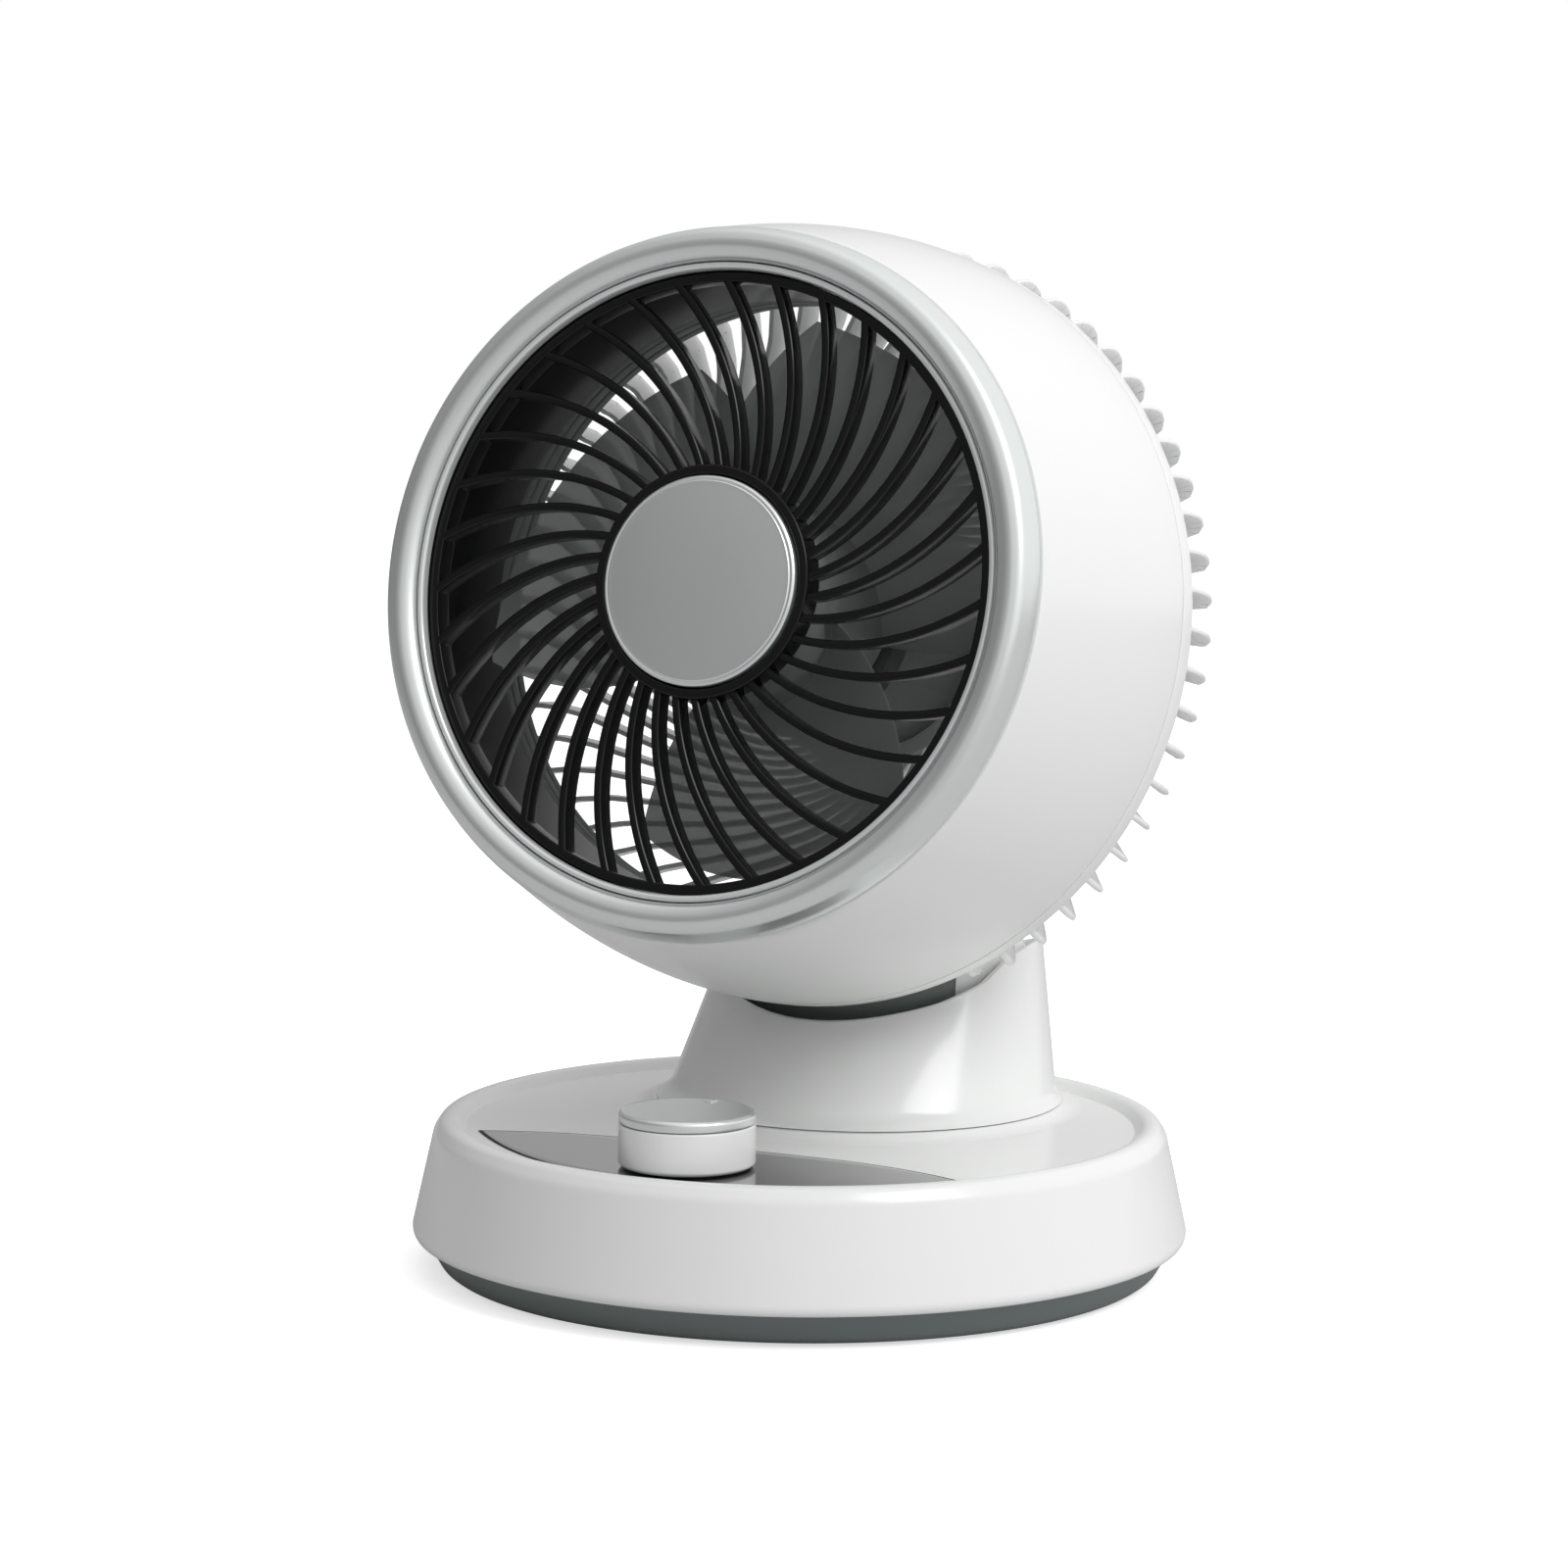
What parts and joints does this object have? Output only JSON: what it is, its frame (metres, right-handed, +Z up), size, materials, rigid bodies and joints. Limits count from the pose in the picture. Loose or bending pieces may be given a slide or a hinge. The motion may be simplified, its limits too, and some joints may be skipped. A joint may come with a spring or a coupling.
{
  "type": "air circulator fan",
  "caption": "Desk air circulator: round drum head with a spiral front grille, tilting and swivelling on a tapered neck over a round base with a speed knob.",
  "frame": {"origin": "centre of the round base on the table surface", "axes": "+Z up; the air leaves towards -Y; +X is on the right hand of someone looking from the front along +Y"},
  "size_m": [0.2438, 0.24, 0.3206],
  "materials": {
    "white_gloss": "glossy white moulded plastic",
    "inner_white": "semi-gloss white moulded plastic",
    "satin_silver": "satin silver-grey paint on plastic",
    "black_satin": "satin black moulded plastic",
    "black_gloss": "mirror-gloss black acrylic",
    "smoke": "smoky translucent moulded plastic",
    "dark_grey": "fine matte dark grey plastic",
    "mid_grey": "satin mid-grey plastic",
    "rubber": "soft black rubber",
    "steel": "bright zinc-plated steel",
    "zinc": "dull zinc-plated pressed steel",
    "board_green": "green circuit board laminate"
  },
  "bodies": {
    "base": {"base_shell": "white_gloss", "base_plate": "dark_grey", "foot_1": "rubber", "foot_2": "rubber", "foot_3": "rubber", "foot_4": "rubber", "base_screw_1": "steel", "base_screw_2": "steel", "base_screw_3": "steel", "base_screw_4": "steel", "control_panel": "black_gloss", "control_board": "board_green", "rotary_switch": "zinc", "power_inlet": "black_satin", "oscillation_motor": "zinc"},
    "knob": {"speed_knob": "white_gloss", "knob_cap": "satin_silver", "knob_pointer": "white_gloss", "switch_shaft": "steel"},
    "pinion": {"motor_output_shaft": "steel", "oscillation_pinion": "inner_white"},
    "neck": {"neck_shell": "white_gloss", "turntable": "inner_white", "turntable_retainer": "inner_white", "oscillation_gear": "inner_white", "tilt_yoke": "zinc", "friction_washer_left": "rubber", "friction_washer_right": "rubber", "tilt_pin": "steel"},
    "head": {"pivot_tail": "white_gloss", "front_shroud": "dark_grey", "drum_shell": "white_gloss", "front_bezel": "satin_silver", "air_duct": "black_satin", "guide_ring": "mid_grey", "front_grille": "black_satin", "hub_cap": "satin_silver", "rear_guard": "inner_white", "guard_screw_1": "steel", "guard_screw_2": "steel", "guard_screw_3": "steel", "guard_screw_4": "steel", "fan_motor": "dark_grey", "motor_screw_1": "steel", "motor_screw_2": "steel", "motor_screw_3": "steel"},
    "impeller": {"impeller": "smoke", "impeller_nut": "black_satin", "motor_shaft": "steel"}
  },
  "joints": [
    {"name": "knob_turn", "type": "hinge", "parent": "base", "child": "knob", "pos_m": [0, -0.076, 0.05], "axis": [0, 0, 1], "range_deg": [-270, 0]},
    {"name": "oscillate", "type": "hinge", "parent": "base", "child": "neck", "pos_m": [0, 0.042, 0.047], "axis": [0, 0, 1], "range_deg": [-40, 40]},
    {"name": "pinion_turn", "type": "hinge", "parent": "base", "child": "pinion", "pos_m": [0, 0.012, 0.035], "axis": [0, 0, 1], "range_deg": [-120, 120]},
    {"name": "head_tilt", "type": "hinge", "parent": "neck", "child": "head", "pos_m": [0, 0.0595, 0.082], "axis": [-1, 0, 0], "range_deg": [-2, 30]},
    {"name": "impeller_spin", "type": "hinge", "parent": "head", "child": "impeller", "pos_m": [0, -0.0702, 0.21611], "axis": [0, 0.9811, -0.1937], "continuous": true}
  ],
  "couplings": [
    {"joint": "pinion_turn", "follows": "oscillate", "ratio": -3}
  ]
}
